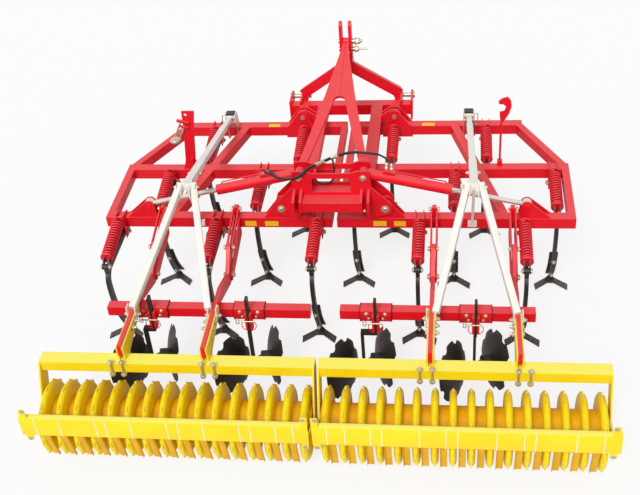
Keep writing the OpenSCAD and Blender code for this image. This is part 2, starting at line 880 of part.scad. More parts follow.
module roller(s) {
    on_side(s)
        color(roller_yellow)
            translate([0, roller_y, roller_z]) {
                for (k = [0:rings - 1])
                    translate([first_ring + k * ring_pitch, 0, 0])
                        ring();
                translate([30, 0, 0])
                    rotate([0, 90, 0])
                        cylinder(h = roller_end - 36, r = core_r, $fn = 64);
                translate([12.5, 0, 0])
                    rotate([0, 90, 0])
                        cylinder(h = roller_end - 1, d = 60);
            }
}

// ---- fold cylinders ----

module along_cylinder(s) {
    on_side(s)
        translate([base_pin[0], cylinder_y, base_pin[1]])
            rotate([0, 90 + cylinder_fall, 0])
                children();
}

module cylinder_barrel(s) {
    color(frame_red)
        along_cylinder(s)
            difference() {
                union() {
                    translate([0, 0, 30])
                        cylinder(h = barrel_len, d = barrel_dia);
                    rotate([90, 0, 0])
                        cylinder(h = 60, r = 38, center = true);
                }
                translate([0, 0, 90])
                    cylinder(h = barrel_len, d = rod_dia + 0.1);
                rotate([90, 0, 0])
                    cylinder(h = 70, d = base_pin_dia + 0.1, center = true);
            }
}

module cylinder_rod(s) {
    color(zinc)
        along_cylinder(s)
            difference() {
                union() {
                    translate([0, 0, 590])
                        cylinder(h = cylinder_len - 620, d = rod_dia);
                    translate([0, 0, cylinder_len])
                        rotate([90, 0, 0])
                            cylinder(h = 44, r = 42, center = true);
                }
                translate([0, 0, cylinder_len])
                    rotate([90, 0, 0])
                        cylinder(h = 60, d = 32, center = true);
            }
}

centre_frame();
hitch_plates();
hitch_tower();
tower_strut();
hitch_pins();
fold_pins();
hoses();
wing_frame(left);  // wing_frame_left
wing_frame(right);  // wing_frame_right
tine_brackets(left);  // tine_brackets_left
tine_brackets(right);  // tine_brackets_right
tine_springs(left);  // tine_springs_left
tine_springs(right);  // tine_springs_right
tine_shanks(left);  // tine_shanks_left
tine_shanks(right);  // tine_shanks_right
shares(left);  // shares_left
shares(right);  // shares_right
y_brace(left);  // y_brace_left
y_brace(right);  // y_brace_right
depth_struts(left);  // depth_struts_left
depth_struts(right);  // depth_struts_right
roller_arms(left);  // roller_arms_left
roller_arms(right);  // roller_arms_right
disc_beam(left);  // disc_beam_left
disc_beam(right);  // disc_beam_right
disc_stalks(left);  // disc_stalks_left
disc_stalks(right);  // disc_stalks_right
levelling_disc(0);  // levelling_disc_1
levelling_disc(1);  // levelling_disc_2
levelling_disc(2);  // levelling_disc_3
levelling_disc(3);  // levelling_disc_4
levelling_disc(4);  // levelling_disc_5
levelling_disc(5);  // levelling_disc_6
levelling_disc(6);  // levelling_disc_7
levelling_disc(7);  // levelling_disc_8
roller_frame(left);  // roller_frame_left
roller_frame(right);  // roller_frame_right
scraper(left);  // scraper_left
scraper(right);  // scraper_right
roller(left);  // roller_left
roller(right);  // roller_right
cylinder_barrel(left);  // cylinder_barrel_left
cylinder_barrel(right);  // cylinder_barrel_right
cylinder_rod(left);  // cylinder_rod_left
cylinder_rod(right);  // cylinder_rod_right
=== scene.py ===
import json
import math
import bpy
import numpy as np
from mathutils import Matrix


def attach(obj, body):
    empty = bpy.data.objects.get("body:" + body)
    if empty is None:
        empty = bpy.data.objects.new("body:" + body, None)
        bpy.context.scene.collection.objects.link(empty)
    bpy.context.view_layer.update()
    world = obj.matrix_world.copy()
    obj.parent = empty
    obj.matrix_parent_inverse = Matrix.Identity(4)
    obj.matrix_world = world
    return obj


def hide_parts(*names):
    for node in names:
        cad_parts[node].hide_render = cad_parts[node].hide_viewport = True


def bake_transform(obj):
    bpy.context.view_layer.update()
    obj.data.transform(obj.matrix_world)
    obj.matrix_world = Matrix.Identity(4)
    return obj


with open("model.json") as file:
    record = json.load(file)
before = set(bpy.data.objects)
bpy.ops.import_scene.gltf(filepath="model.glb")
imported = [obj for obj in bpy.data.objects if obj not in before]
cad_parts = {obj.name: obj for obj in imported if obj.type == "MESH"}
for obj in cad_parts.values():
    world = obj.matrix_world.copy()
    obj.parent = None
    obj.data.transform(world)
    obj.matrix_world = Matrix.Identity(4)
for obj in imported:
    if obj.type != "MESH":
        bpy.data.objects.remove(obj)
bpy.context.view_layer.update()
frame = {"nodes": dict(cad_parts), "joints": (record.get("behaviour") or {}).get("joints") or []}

nodes = frame["nodes"]

# ---- The view ----
# A camera stands behind, above and a little to the right of the machine and looks down on it,
# through a moderately long lens that leaves a narrow margin round the machine.
eye = bpy.data.objects.new("eye", bpy.data.cameras.new("eye"))
eye.data.sensor_width = 36.0
eye.data.lens = 57.96
eye.data.clip_end = 200.0
eye.location = (0.954, -6.512, 5.705)
eye.rotation_euler = [math.radians(a) for a in (52.390, 4.239, 6.174)]
bpy.context.collection.objects.link(eye)
bpy.context.scene.camera = eye
bpy.context.scene.view_settings.view_transform = "Standard"


# ---- The studio ----
# A plain pale floor under a white room, with one large soft lamp above and behind the viewer.
# What is looked at or mirrored is full white; the paint gets a little over half of that from the room.
class Wire:
    """A value inside a material: arithmetic on it adds Math nodes, add() puts in any other node."""

    def __init__(self, tree, socket):
        self.tree = tree
        self.socket = socket

    def add(self, kind, settings=None, values=None, out=0):
        """A node of a kind: its settings first, then its sockets' values or links. Gives one output."""
        node = self.tree.nodes.new(kind)
        for key, value in (settings or {}).items():
            setattr(node, key, value)
        for key, value in (values or {}).items():
            if isinstance(value, Wire):
                self.tree.links.new(value.socket, node.inputs[key])
            else:
                node.inputs[key].default_value = value
        return Wire(self.tree, node.outputs[out])

    def maths(self, operation, a, b, clamp=False):
        """One operation on a and b, each a number or a Wire, held between 0 and 1 if clamp is set."""
        return self.add("ShaderNodeMath", {"operation": operation, "use_clamp": clamp}, {0: a, 1: b})

    def __add__(self, other):
        return self.maths("ADD", self, other)

    def __sub__(self, other):
        return self.maths("SUBTRACT", self, other)

    def __mul__(self, other):
        return self.maths("MULTIPLY", self, other)

    def __rsub__(self, other):
        return self.maths("SUBTRACT", other, self)

    __radd__ = __add__
    __rmul__ = __mul__

    def above(self, edge, width):
        """0 below edge, 1 above edge + width, and a straight ramp between them."""
        return self.maths("MULTIPLY", self - edge, 1.0 / width, clamp=True)


def blank_material(name):
    """A new material's node tree, emptied, with its output node."""
    made = bpy.data.materials.new(name)
    made.use_nodes = True
    tree = made.node_tree
    tree.nodes.clear()
    return made, tree, tree.nodes.new("ShaderNodeOutputMaterial")


floor_finish, tree, surface_out = blank_material("studio_floor")
seen = Wire(tree, tree.nodes.new("ShaderNodeLightPath").outputs["Is Camera Ray"])
matt = seen.add("ShaderNodeBsdfDiffuse", values={"Color": (0.90, 0.90, 0.90, 1.0)})
glow = seen.add("ShaderNodeEmission", values={"Color": (1.0, 1.0, 1.0, 1.0), "Strength": 1.0})
both = seen.add("ShaderNodeMixShader", values={0: seen * 0.80, 1: matt, 2: glow})
tree.links.new(both.socket, surface_out.inputs["Surface"])
floor_mesh = bpy.data.meshes.new("studio_floor")
reach, floor_z = 60.0, -0.002
floor_mesh.from_pydata([(-reach, -reach, floor_z), (reach, -reach, floor_z), (reach, reach, floor_z),
                        (-reach, reach, floor_z)], [], [(0, 1, 2, 3)])
floor_mesh.materials.append(floor_finish)
floor = bpy.data.objects.new("studio_floor", floor_mesh)
bpy.context.collection.objects.link(floor)

room = bpy.data.worlds.new("room")
room.use_nodes = True
bpy.context.scene.world = room
tree = room.node_tree
tree.nodes.clear()
paths = tree.nodes.new("ShaderNodeLightPath")
shown = Wire(tree, paths.outputs["Is Camera Ray"])
glossy = Wire(tree, paths.outputs["Is Glossy Ray"])
through = Wire(tree, paths.outputs["Is Transmission Ray"])
direct = shown.maths("MAXIMUM", shown.maths("MAXIMUM", shown, glossy), through)
air = shown.add("ShaderNodeBackground",
                values={"Color": (1.0, 1.0, 1.0, 1.0), "Strength": 0.55 + direct * 0.45})
tree.links.new(air.socket, tree.nodes.new("ShaderNodeOutputWorld").inputs["Surface"])

sun = bpy.data.objects.new("lamp", bpy.data.lights.new("lamp", "SUN"))
sun.data.energy = 1.9
sun.data.angle = math.radians(20.0)
sun.rotation_euler = (math.radians(43.0), math.radians(-12.0), 0.0)
bpy.context.collection.objects.link(sun)


# ---- Red painted frames ----
# Welded square tube and plate, dipped and sprayed red. The paint lies a little unevenly,
# with a fine orange-peel surface, and its tone drifts slightly along each beam.
def coated(name, light, dark, rough, metal=0.0, coat=0.0, cloud=2.2, peel=260.0, relief=0.04,
           gloss=0.5, painted_top_light=None, worn=None):
    """A sprayed or plated finish: two tones mixed by broad noise, specks in the roughness and a peel bump.

    The paler top tone is painted light: faces turned to the sky are drawn lighter, as if more light fell on
    them.
    worn is (colour, top, depth): bare metal that shows below the height top, patchily over depth.
    """
    made, tree, surface_out = blank_material(name)
    at = Wire(tree, tree.nodes.new("ShaderNodeTexCoord").outputs["Object"])
    broad = at.add("ShaderNodeTexNoise", values={"Vector": at, "Scale": cloud, "Detail": 3.0, "Roughness": 0.6})
    fine = at.add("ShaderNodeTexNoise", values={"Vector": at, "Scale": 38.0, "Detail": 4.0, "Roughness": 0.62})
    skin = at.add("ShaderNodeTexNoise", values={"Vector": at, "Scale": peel, "Detail": 2.0})
    mix = (broad * 0.75 + fine * 0.25).above(0.34, 0.32)
    tone = at.add("ShaderNodeMix", {"data_type": "RGBA"},
                  {0: mix, 6: (*dark, 1.0), 7: (*light, 1.0)}, out=2)
    # Painted light: faces whose normal points up are mixed towards the paler tone, as if more light fell on
    # them.
    if painted_top_light:
        facing = at.add("ShaderNodeTexCoord", out=1)
        rise = at.add("ShaderNodeSeparateXYZ", values={0: facing}, out=2)
        tone = at.add("ShaderNodeMix", {"data_type": "RGBA"},
                      {0: rise.above(0.30, 0.60) * (fine * 0.5 + 0.55), 6: tone, 7: (*painted_top_light, 1.0)}, out=2)
    if worn:
        colour, top, depth = worn
        height = at.add("ShaderNodeSeparateXYZ", values={0: at}, out=2)
        rub = (top - height).above(0.0, depth) * fine.above(0.40, 0.16)
        tone = at.add("ShaderNodeMix", {"data_type": "RGBA"}, {0: rub * 0.8, 6: tone, 7: (*colour, 1.0)}, out=2)
    bump = at.add("ShaderNodeBump", values={"Strength": relief, "Distance": 0.0015,
                                            "Height": skin * 0.6 + fine * 0.8})
    shader = tree.nodes.new("ShaderNodeBsdfPrincipled")
    shader.inputs["Metallic"].default_value = metal
    shader.inputs["Specular IOR Level"].default_value = gloss
    shader.inputs["Coat Weight"].default_value = coat
    shader.inputs["Coat Roughness"].default_value = 0.12
    tree.links.new(tone.socket, shader.inputs["Base Color"])
    tree.links.new((fine * 0.14 + (rough - 0.07)).socket, shader.inputs["Roughness"])
    tree.links.new(bump.socket, shader.inputs["Normal"])
    tree.links.new(shader.outputs[0], surface_out.inputs["Surface"])
    return made


def dress(finish, *names):
    """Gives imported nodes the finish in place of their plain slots."""
    for name in names:
        for i in range(len(nodes[name].material_slots)):
            nodes[name].material_slots[i].material = finish


# The red's upper faces take a paler pink tone as painted light.
red_paint = coated("red_paint", (0.84, 0.008, 0.024), (0.74, 0.003, 0.016), rough=0.42, coat=0.08, gloss=0.24,
                   painted_top_light=(0.84, 0.085, 0.092))
dress(red_paint, "centre_frame", "hitch_plates", "hitch_tower", "tower_strut",
      *[f"{part}_{side}" for side in ("left", "right")
        for part in ("wing_frame", "tine_brackets", "depth_struts", "roller_arms",
                     "disc_beam", "cylinder_barrel")])

# ---- Yellow roller and its frame ----
# The beam over the roller, its end plates, the rings and the scraper beam are all sprayed yellow.
# Down in the grooves between the rings, on the drum, and on the scraper blades, a darker browner yellow is
# painted shade.
# The yellow's upper faces take a paler tone as painted light.
yellow_paint = coated("yellow_paint", (0.97, 0.77, 0.014), (0.93, 0.68, 0.006), rough=0.42, coat=0.10,
                      cloud=3.0, gloss=0.25, painted_top_light=(0.99, 0.93, 0.17))
ring_yellow = coated("ring_yellow", (0.97, 0.79, 0.010), (0.92, 0.66, 0.004), rough=0.42, coat=0.10,
                     cloud=5.0, gloss=0.30)
# Painted shade: a darker, browner yellow for the drum between the rings and for the scraper blades.
painted_shade_yellow = coated("painted_shade_yellow", (0.84, 0.48, 0.004), (0.72, 0.36, 0.003), rough=0.50,
                       cloud=6.0, gloss=0.25)
dress(yellow_paint, "roller_frame_left", "roller_frame_right")

# ---- Black tines, shares and discs ----
# The shanks are spring steel, the shares and notched discs hardened steel, all in thin satin black,
# and the discs' stalks match them. Soil has rubbed the shares and discs paler towards their lower edges.
black_steel = coated("black_steel", (0.030, 0.025, 0.022), (0.014, 0.012, 0.011), rough=0.44,
                     cloud=6.0, peel=140.0, relief=0.10)
blade_black = coated("blade_black", (0.034, 0.028, 0.025), (0.016, 0.013, 0.012), rough=0.40,
                     cloud=7.0, peel=120.0, relief=0.12, worn=((0.16, 0.14, 0.13), 0.10, 0.16))
dress(black_steel, *[f"{part}_{side}" for side in ("left", "right") for part in ("tine_shanks", "disc_stalks")])
dress(blade_black, "shares_left", "shares_right", *[f"levelling_disc_{i}" for i in range(1, 9)])

# ---- Pale braces, plated pins and chromed rods ----
# The long Y-shaped stays are off-white; pins are zinc plated with a warm passivated tint;
# the folding cylinders' rods are hard chromed and ground.
pale_paint = coated("pale_paint", (0.90, 0.885, 0.83), (0.82, 0.80, 0.73), rough=0.42, cloud=3.0, gloss=0.35)
zinc_plate = coated("zinc_plate", (0.66, 0.60, 0.47), (0.44, 0.39, 0.29), rough=0.36, metal=0.7,
                    cloud=26.0, peel=400.0, relief=0.06)
hard_chrome = coated("hard_chrome", (0.80, 0.76, 0.69), (0.66, 0.62, 0.55), rough=0.20, metal=0.8,
                     cloud=9.0, peel=500.0, relief=0.01)
dress(zinc_plate, "hitch_pins", "fold_pins")
dress(hard_chrome, "cylinder_rod_left", "cylinder_rod_right")


# ---- Fold pins' ends ----
# Each fold pin and each cylinder's base pin is kept by a thick washer and a hexagon head
# against the outer faces of the centre's rear plates.
def turned(profile, sides=20):
    """A surface of revolution about +Z: (radius, height) pairs swept round in equal steps, with flat ends."""
    profile = np.asarray(profile, float)
    turn = np.linspace(0.0, 2 * np.pi, sides, endpoint=False)
    points = np.stack([profile[:, :1] * np.cos(turn), profile[:, :1] * np.sin(turn),
                       np.repeat(profile[:, 1:], sides, 1)], -1).reshape(-1, 3)
    row, col = np.meshgrid(np.arange(len(profile) - 1), np.arange(sides), indexing="ij")
    a, b = row * sides + col, row * sides + (col + 1) % sides
    walls = np.stack([a, b, b + sides, a + sides], -1).reshape(-1, 4).tolist()
    last = (len(profile) - 1) * sides
    return points, walls + [list(range(sides))[::-1], list(range(last, last + sides))]


def seated(shape, places, axes):
    """Copies of a shape with its origin at each place and its +Z turned along each axis, as one set."""
    points, faces = shape
    places = np.asarray(places, float).reshape(-1, 3)
    w = np.broadcast_to(np.asarray(axes, float), places.shape)
    w = w / np.linalg.norm(w, axis=1, keepdims=True)
    up = np.where(np.abs(w[:, 2:]) > 0.9, [[0.0, 1.0, 0.0]], [[0.0, 0.0, 1.0]])
    u = np.cross(up, w)
    u = u / np.linalg.norm(u, axis=1, keepdims=True)
    v = np.cross(w, u)
    basis = np.stack([u, v, w], 1)
    moved = (points[None] @ basis + places[:, None]).reshape(-1, 3)
    return moved, [[i + k * len(points) for i in face] for k in range(len(places)) for face in faces]


def joined(shapes):
    """Several sets of points and faces as one."""
    starts = np.cumsum([0] + [len(points) for points, _ in shapes])
    return (np.concatenate([points for points, _ in shapes]),
            [[i + start for i in face] for start, (_, faces) in zip(starts, shapes) for face in faces])


def fitted(name, shape, finish, body, crease=35.0):
    """Makes a shape into a piece that moves with a body, smooth but for edges over crease degrees."""
    points, faces = shape
    mesh = bpy.data.meshes.new(name)
    mesh.from_pydata(np.asarray(points).tolist(), [], faces)
    mesh.materials.append(finish)
    mesh.polygons.foreach_set("use_smooth", [True] * len(mesh.polygons))
    mesh.set_sharp_from_angle(angle=math.radians(crease))
    piece = bpy.data.objects.new(name, mesh)
    bpy.context.collection.objects.link(piece)
    if body:
        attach(piece, body)
    return piece


def hex_bolt(r, rise, tip=0.0):
    """A washer, a chamfered hexagon of corner radius r and height rise, and a round end tip proud of it."""
    washer = turned([(r * 1.32, 0.0), (r * 1.36, r * 0.03), (r * 1.36, r * 0.13), (r * 1.28, r * 0.17)], 24)
    low = r * 0.16
    hexagon = turned([(r * 0.98, low), (r, low + rise * 0.12), (r, low + rise * 0.84),
                      (r * 0.88, low + rise)], 6)
    end = turned([(r * 0.52, low + rise * 0.9), (r * 0.52, low + rise + tip * 0.8),
                  (r * 0.44, low + rise + tip)], 12)
    return joined([washer, hexagon] + ([end] if tip > 0 else []))


plate_faces = ((0.0205, -1), (0.1725, 1))
fold_pin, base_pin = (0.411, 1.010), (0.250, 1.300)
heads = []
for (x, z), size in ((fold_pin, 0.0245), (base_pin, 0.0190)):
    ends = [(s * x, y, z) for s in (-1, 1) for y, _ in plate_faces]
    heads.append(seated(hex_bolt(size, 0.016), ends, [(0.0, way, 0.0) for _, way in plate_faces] * 2))
fitted("fold_pin_heads", joined(heads), zinc_plate, "centre")

# ---- Tine fastenings ----
# A through bolt with a nut on each cheek holds a tine in its bracket, another holds the spring's
# clevis, and two bolts go through the shin plate and the leg, heads in front and nuts behind.
tine_pitch = 0.270
rows = (0.090, 0.790, 1.490)
tines = {}
for side, first in (("left", 0), ("right", 7)):
    index = np.arange(first, first + 7)
    tines[side] = (index - 6.5) * tine_pitch, np.take(rows, index % 3)
leg_centre, leg_front, leg_back = np.array([0.420, 0.645]), 0.961, 1.025
level = np.zeros(7)
for side, (x, y) in tines.items():
    parts = []
    for s in (-1, 1):
        parts.append(seated(hex_bolt(0.0185, 0.015, 0.006),
                            np.stack([x + s * 0.036, y - 0.030, level + 0.755], 1), (s, 0, 0)))
        parts.append(seated(hex_bolt(0.0170, 0.011, 0.003),
                            np.stack([x + s * 0.027, y - 0.560, level + 0.800], 1), (s, 0, 0)))
    for angle in np.radians([198.0, 211.0]):
        ray = np.array([math.cos(angle), math.sin(angle)])
        front, back = leg_centre + leg_front * ray, leg_centre + leg_back * ray
        parts.append(seated(hex_bolt(0.0125, 0.008), np.stack([x, y + front[0], level + front[1]], 1),
                            (0, *-ray)))
        parts.append(seated(hex_bolt(0.0135, 0.012, 0.008), np.stack([x, y + back[0], level + back[1]], 1),
                            (0, *ray)))
    fitted(f"tine_bolts_{side}", joined(parts), zinc_plate, f"wing_{side}")

# ---- Tine springs ----
# A heavy coil of round bar, painted red, holds each tine down; a dark tube inside it is painted shade for its
# hollow.
# A pressed cup closes its lower end, and a tension screw with a lock nut stands out of the seat at its upper
# end.
def coil(start, end, mean, wire, turns, steps=14, sides=8):
    """A wound bar: start + a (s + wire sin p) + (mean + wire cos p) n(t), n turning about the axis a."""
    start, end = np.asarray(start, float), np.asarray(end, float)
    length = np.linalg.norm(end - start)
    a = (end - start) / length
    u = np.cross(a, (1.0, 0.0, 0.0))
    u = u / np.linalg.norm(u)
    v = np.cross(a, u)
    t = np.linspace(0.0, 2 * np.pi * turns, int(steps * turns) + 1)
    p = np.linspace(0.0, 2 * np.pi, sides, endpoint=False)
    s = wire + (length - 2 * wire) * t / t[-1]
    n = np.cos(t)[:, None] * u + np.sin(t)[:, None] * v
    points = (start + a * (s[:, None, None] + wire * np.sin(p)[None, :, None])
              + n[:, None, :] * (mean + wire * np.cos(p)[None, :, None]))
    row, col = np.meshgrid(np.arange(len(t) - 1), np.arange(sides), indexing="ij")
    i, j = row * sides + col, row * sides + (col + 1) % sides
    walls = np.stack([i, i + sides, j + sides, j], -1).reshape(-1, 4).tolist()
    last = (len(t) - 1) * sides
    return points.reshape(-1, 3), walls + [list(range(sides)), list(range(last, last + sides))[::-1]]


for side, (x, y) in tines.items():
    tops = np.stack([x, y - 0.112, level + 0.905], 1)
    feet = np.stack([x, y - 0.497, level + 0.845], 1)
    down = (feet[0] - tops[0]) / np.linalg.norm(feet[0] - tops[0])
    coils = fitted(f"tine_coils_{side}", joined([coil(a, b, 0.0430, 0.0079, 13.5) for a, b in zip(tops, feet)]),
                   red_paint, f"wing_{side}", 80.0)
    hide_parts(f"tine_springs_{side}")
    cup = turned([(0.0300, -0.004), (0.0500, -0.004), (0.0512, -0.002), (0.0512, 0.009), (0.0480, 0.0135),
                  (0.0200, 0.0140)], 28)
    fitted(f"spring_cups_{side}", seated(cup, feet, down), red_paint, f"wing_{side}")
    # Painted shade: a dark tube inside each coil fills the gaps between its turns with dark.
    shade_tube = turned([(0.0270, 0.004), (0.0270, 0.384)], 20)
    fitted(f"spring_shade_tubes_{side}", seated(shade_tube, tops, down), black_steel, f"wing_{side}")
    screw = joined([hex_bolt(0.0200, 0.016), turned([(0.0095, 0.010), (0.0095, 0.046), (0.0080, 0.048)], 14)])
    fitted(f"spring_screws_{side}", seated(screw, tops - down * 0.012, -down), zinc_plate,
           f"wing_{side}")

# ---- Depth struts and arms ----
# Zinc bolts at the head, foot and pivot of each depth strut, and rows of bolts where the
# roller's bracket plates clamp each arm.
arm_x = (0.790, 1.395)
both_sides = (("left", -1), ("right", 1))
for side, s in both_sides:
    parts = []
    for x in arm_x:
        for y, z, r, face in ((0.080, 0.970, 0.017, 0.0255), (-0.305, 0.875, 0.017, 0.0255),
                              (-0.420, 0.695, 0.020, 0.0275)):
            for t in (-1, 1):
                # The head that the folding cylinder comes down beside is flat.
                flat = x > 1.0 and y > 0.0 and t != s
                head = turned([(r, 0.0), (r, 0.002)], 16) if flat else hex_bolt(r, 0.013, 0.004)
                parts.append(seated(head, [(s * x + t * face, y, z)], (t, 0, 0)))
        facing = s if x < 1.0 else -s
        for y, z in ((-1.085, 0.797), (-1.155, 0.793)):
            parts.append(seated(hex_bolt(0.0195, 0.016, 0.016), [(s * x + facing * 0.027, y, z)],
                                (facing, 0, 0)))
            parts.append(seated(hex_bolt(0.0165, 0.010), [(s * x - facing * 0.027, y, z)], (-facing, 0, 0)))
    fitted(f"arm_bolts_{side}", joined(parts), zinc_plate, f"wing_{side}")

# ---- Roller beam bolts ----
# Beside each arm two long bolts pass down the back of the beam, with a domed head above,
# a bare shank and a wide washer and nut below.
top, foot, beam_back = 0.732, 0.600, -1.4525
wide_nut = turned([(0.012, 0.0), (0.021, 0.002), (0.022, 0.010), (0.018, 0.020), (0.010, 0.025)], 20)
for side, s in both_sides:
    parts = []
    for x in (0.720, 0.806, 1.385, 1.468):
        parts.append(seated(turned([(0.0075, 0.0), (0.0075, top - foot)], 12), [(s * x, beam_back, foot)],
                            (0, 0, 1)))
        parts.append(seated(hex_bolt(0.0150, 0.012), [(s * x, beam_back, top - 0.006)], (0, 0, 1)))
        parts.append(seated(wide_nut, [(s * x, beam_back, foot + 0.020)], (0, 0, -1)))
    fitted(f"beam_bolts_{side}", joined(parts), zinc_plate, f"wing_{side}")

# ---- Disc hubs ----
# A flanged cast hub sits in the hollow of each notched disc. It is held by four zinc bolts
# and closed by a domed cap.
corners = np.radians([45, 135, 225, 315])
for i in range(8):
    joint = next(j for j in frame["joints"] if j["name"] == f"disc_spin_{i + 1}")
    apex, out = np.array(joint["pos_m"]), np.array(joint["axis"])
    hub = seated(turned([(0.060, 0.0065), (0.061, 0.012), (0.040, 0.017), (0.036, 0.034), (0.024, 0.041),
                         (0.008, 0.043)], 28), [apex], out)
    side_way = np.cross(out, (0.0, 0.0, 1.0))
    side_way = side_way / np.linalg.norm(side_way)
    over = np.cross(out, side_way)
    spots = [apex + out * 0.0105 + 0.050 * (math.cos(a) * side_way + math.sin(a) * over)
             for a in corners]
    fitted(f"disc_hub_{i + 1}", hub, black_steel, f"disc_{i + 1}")
    fitted(f"disc_nuts_{i + 1}", seated(hex_bolt(0.0085, 0.008), spots, out), zinc_plate,
           f"disc_{i + 1}")

# ---- Rollers ----
# Sixteen cast rings are welded on each drum. A ring is a thick rim with upright sides and a rounded tread,
# and twelve low nubs stand on it. A shaft as wide as the bearings passes through the drum.
roller_axis = (-1.557, 0.275)
tread = [(0.140, -0.026), (0.232, -0.026), (0.246, -0.023), (0.257, -0.016), (0.264, -0.007), (0.2655, 0.0)]
tread = tread + [(r, -h) for r, h in tread[-2::-1]]
nub = (np.array([(u * a, v * b, c) for a, b, c in ((0.0085, 0.024, 0.256), (0.0055, 0.016, 0.2745))
                 for u, v in ((-1, -1), (1, -1), (1, 1), (-1, 1))]),
       [[3, 2, 1, 0], [4, 5, 6, 7], [0, 1, 5, 4], [1, 2, 6, 5], [2, 3, 7, 6], [3, 0, 4, 7]])
ring_x = 0.074 + 0.125 * np.arange(16)
around = np.radians(np.arange(0, 360, 30) + 90)
for side, s in both_sides:
    centres = np.stack([s * ring_x, np.full(16, roller_axis[0]), np.full(16, roller_axis[1])], 1)
    rings = seated(turned(tread, 88), centres, (1, 0, 0))
    nubs = seated(nub, np.repeat(centres, 12, 0),
                  np.tile(np.stack([0 * around, np.cos(around), np.sin(around)], 1), (16, 1)))
    rims = fitted(f"rings_{side}", joined([rings, nubs]), ring_yellow, f"packer_{side}", 40.0)
    drum = [seated(turned([(0.150, 0.030), (0.150, 1.994)], 72), [(0.0, *roller_axis)], (s, 0, 0)),
            seated(turned([(0.030, 0.0125), (0.030, 2.0115)], 32), [(0.0, *roller_axis)], (s, 0, 0))]
    # The drum between the rings takes the darker yellow as painted shade.
    fitted(f"drum_{side}", joined(drum), painted_shade_yellow, f"packer_{side}")
    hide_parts(f"roller_{side}")

# ---- Roller bearings ----
# Each roller's shaft runs in a flanged bearing on the outer face of the outer end plate,
# sprayed with the frame and held by four zinc bolts through its flange.
for side, s in both_sides:
    flange = turned([(0.062, 0.0), (0.062, 0.009), (0.044, 0.012), (0.041, 0.017), (0.010, 0.0185)], 32)
    fitted(f"bearing_{side}", seated(flange, [(s * 2.012, *roller_axis)], (s, 0, 0)), yellow_paint,
           f"wing_{side}")
    spots = [(s * 2.021, roller_axis[0] + 0.052 * math.cos(a), roller_axis[1] + 0.052 * math.sin(a))
             for a in corners]
    fitted(f"bearing_bolts_{side}", seated(hex_bolt(0.008, 0.007), spots, (s, 0, 0)), zinc_plate,
           f"wing_{side}")


# ---- Long braces ----
# A Y of square tube holds each roller: a tube from a head on the front beam, telescoped in three sizes,
# and two legs bolted to its end that reach the roller's arms. It is painted off-white, with zinc bolts.
def carried(path, radius, sides=8, closed=False):
    """A round bar along a path: rings of points square to the path's direction, joined in order."""
    path = np.asarray(path, float)
    along = np.roll(path, -1, 0) - np.roll(path, 1, 0) if closed else np.gradient(path, axis=0)
    along = along / np.linalg.norm(along, axis=1, keepdims=True)
    ref = np.array([0.31, 0.17, 0.935]) if abs(along[:, 2]).max() < 0.8 else np.array([0.953, 0.23, 0.197])
    u = np.cross(ref, along)
    u = u / np.linalg.norm(u, axis=1, keepdims=True)
    v = np.cross(along, u)
    turn = np.linspace(0.0, 2 * np.pi, sides, endpoint=False)
    points = path[:, None] + radius * (np.cos(turn)[:, None] * u[:, None]
                                       + np.sin(turn)[:, None] * v[:, None])
    rings = len(path)
    row, col = np.meshgrid(np.arange(rings if closed else rings - 1), np.arange(sides), indexing="ij")
    a, b = row * sides + col, row * sides + (col + 1) % sides
    c, d = (b + sides) % (rings * sides), (a + sides) % (rings * sides)
    walls = np.stack([a, b, c, d], -1).reshape(-1, 4).tolist()
    ends = [] if closed else [list(range(sides))[::-1], list(range((rings - 1) * sides, rings * sides))]
    return points.reshape(-1, 3), walls + ends


def oval(across, up):
    """An outline of r cos t + h sign(cos t) across and r sin t + h sign(sin t) up, each from its (r, h)."""
    turn = np.radians(np.arange(0, 360, 15) + 7.5)
    return (across[0] * np.cos(turn) + across[1] * np.sign(np.cos(turn)),
            up[0] * np.sin(turn) + up[1] * np.sign(np.sin(turn)))


def wire_link(place, across, up, radius):
    """A closed link of wire round an oval in x and z about a place."""
    x, z = oval(across, up)
    return carried(np.stack([place[0] + x, np.full_like(x, place[1]), place[2] + z], 1), radius, 8, closed=True)


def square_tube(a, b, wide, high, corner=0.004, up=(0.0, 0.0, 1.0)):
    """A rectangle with round corners, wide across and high along up, carried straight from a to b."""
    a, b = np.asarray(a, float), np.asarray(b, float)
    w = (b - a) / np.linalg.norm(b - a)
    u = np.cross(up, w)
    u = u / np.linalg.norm(u)
    v = np.cross(w, u)
    turn = np.radians([0, 45, 90, 90, 135, 180, 180, 225, 270, 270, 315, 360])
    east = np.repeat([1.0, -1.0, -1.0, 1.0], 3) * (wide / 2 - corner) + corner * np.cos(turn)
    north = np.repeat([1.0, 1.0, -1.0, -1.0], 3) * (high / 2 - corner) + corner * np.sin(turn)
    ring = east[:, None] * u + north[:, None] * v
    i = np.arange(12)
    walls = np.stack([i, (i + 1) % 12, (i + 1) % 12 + 12, i + 12], 1).tolist()
    return np.concatenate([a + ring, b + ring]), walls + [i[::-1].tolist(), (i + 12).tolist()]


def plate_across(outline, x, thick):
    """A flat plate thick across the machine about x, its outline drawn as (y, z) pairs in turn."""
    yz = np.asarray(outline, float)
    n = len(yz)
    near, far = (np.column_stack([np.full(n, x + k * thick / 2), yz]) for k in (-1, 1))
    i = np.arange(n)
    walls = np.stack([i, (i + 1) % n, (i + 1) % n + n, i + n], 1).tolist()
    return np.concatenate([near, far]), walls + [i[::-1].tolist(), (i + n).tolist()]


def to_side(shape, s):
    """The shape itself for s = 1, or its mirror image across the middle of the machine for s = -1."""
    points, faces = shape
    return points * (s, 1.0, 1.0), faces if s > 0 else [face[::-1] for face in faces]


